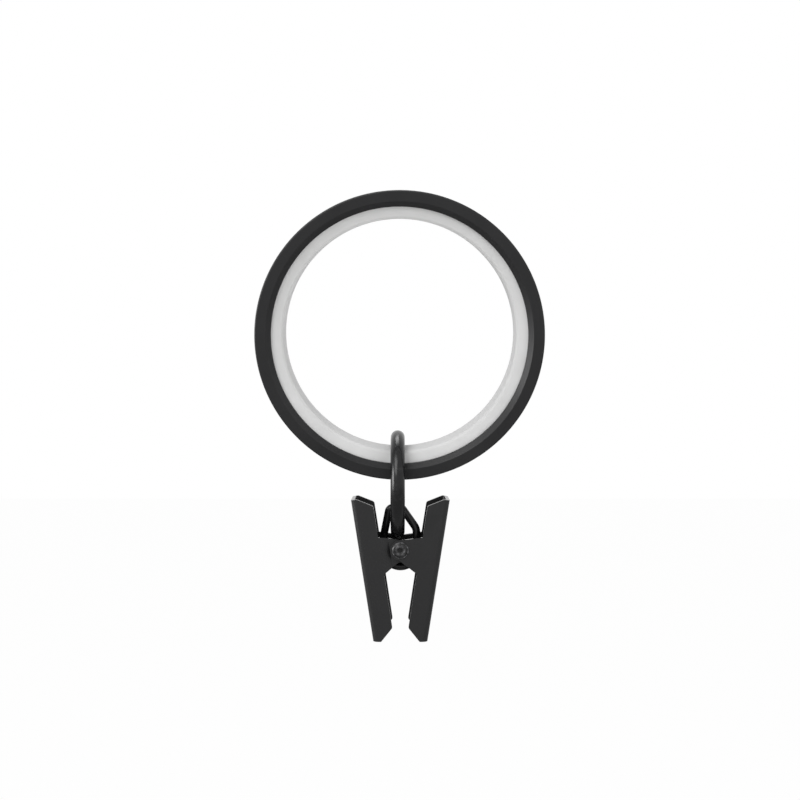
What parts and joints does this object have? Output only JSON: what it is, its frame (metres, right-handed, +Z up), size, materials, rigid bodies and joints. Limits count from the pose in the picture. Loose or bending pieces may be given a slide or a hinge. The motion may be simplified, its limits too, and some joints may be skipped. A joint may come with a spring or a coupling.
{
  "type": "curtain ring with clip",
  "caption": "Black metal curtain ring with a white plastic liner and a spring clip that hangs from a wire loop.",
  "frame": {"origin": "centre of the ring, on the axis of the rod that it runs on", "axes": "+Y along the rod, away from the picture's camera; +Z up, with the clip hanging down -Z; +X to the right in the picture"},
  "size_m": [0.047, 0.0211, 0.0745],
  "materials": {
    "black_coated_metal": "satin black powder coat",
    "white_plastic": "smooth moulded plastic",
    "black_wire": "black coated steel wire",
    "black_rivet": "black coated steel",
    "black_spring_wire": "black coated spring steel",
    "black_sheet_steel": "black coated folded sheet"
  },
  "bodies": {
    "ring": {"ring_shell": "black_coated_metal", "ring_liner": "white_plastic"},
    "loop": {"hanging_loop": "black_wire"},
    "clip_core": {"pivot_rivet": "black_rivet", "clip_spring": "black_spring_wire"},
    "left_jaw_body": {"left_jaw": "black_sheet_steel"},
    "right_jaw_body": {"right_jaw": "black_sheet_steel"}
  },
  "joints": [
    {"name": "loop_swing", "type": "hinge", "parent": "ring", "child": "loop", "pos_m": [-0.00032, 0.00395, -0.02493], "axis": [1, 0, 0], "range_deg": [-17, 30]},
    {"name": "clip_swing", "type": "hinge", "parent": "loop", "child": "clip_core", "pos_m": [-0.00032, 0.00395, -0.03285], "axis": [0, 1, 0], "range_deg": [-10, 10]},
    {"name": "left_jaw_hinge", "type": "hinge", "parent": "clip_core", "child": "left_jaw_body", "pos_m": [0.00012, 0.00395, -0.03553], "axis": [0, 1, 0], "range_deg": [-5, 12], "stiffness_Nm_per_rad": 0.03, "deforming": ["clip_spring"]},
    {"name": "right_jaw_hinge", "type": "hinge", "parent": "clip_core", "child": "right_jaw_body", "pos_m": [0.00012, 0.00395, -0.03553], "axis": [0, 1, 0], "range_deg": [-12, 5], "deforming": ["clip_spring"]}
  ],
  "couplings": [
    {"joint": "right_jaw_hinge", "follows": "left_jaw_hinge", "ratio": -1}
  ]
}
